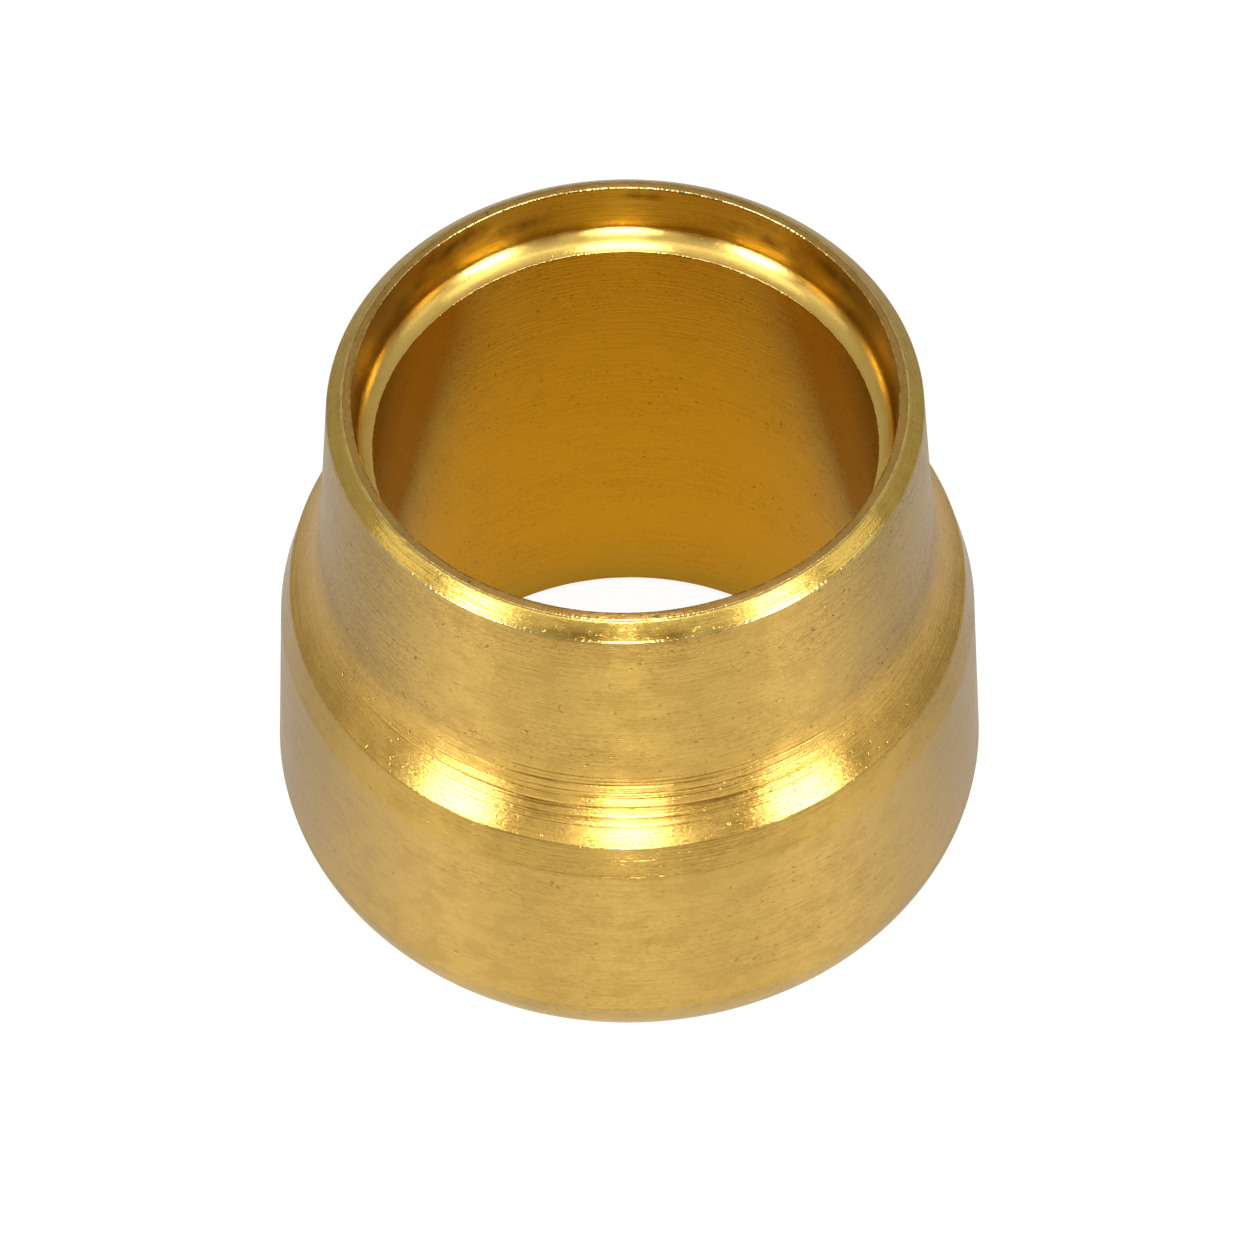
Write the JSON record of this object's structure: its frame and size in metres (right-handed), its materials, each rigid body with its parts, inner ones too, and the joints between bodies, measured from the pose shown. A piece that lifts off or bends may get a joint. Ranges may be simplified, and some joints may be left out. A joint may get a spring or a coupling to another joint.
{
  "type": "compression olive",
  "caption": "Turned brass compression olive: a ring with a plain pipe bore, a recessed thin lip, a tapered neck flaring to a wider body, and a drawn-in foot.",
  "frame": {"origin": "centre of the foot face, on the ring's axis", "axes": "+Z along the bore axis, from the foot towards the thin lip"},
  "size_m": [0.0218, 0.0218, 0.0185],
  "materials": {
    "brass": "bare turned brass, satin, with fine lathe lines round the axis"
  },
  "bodies": {
    "root": {"olive_ring": "brass"}
  },
  "joints": []
}
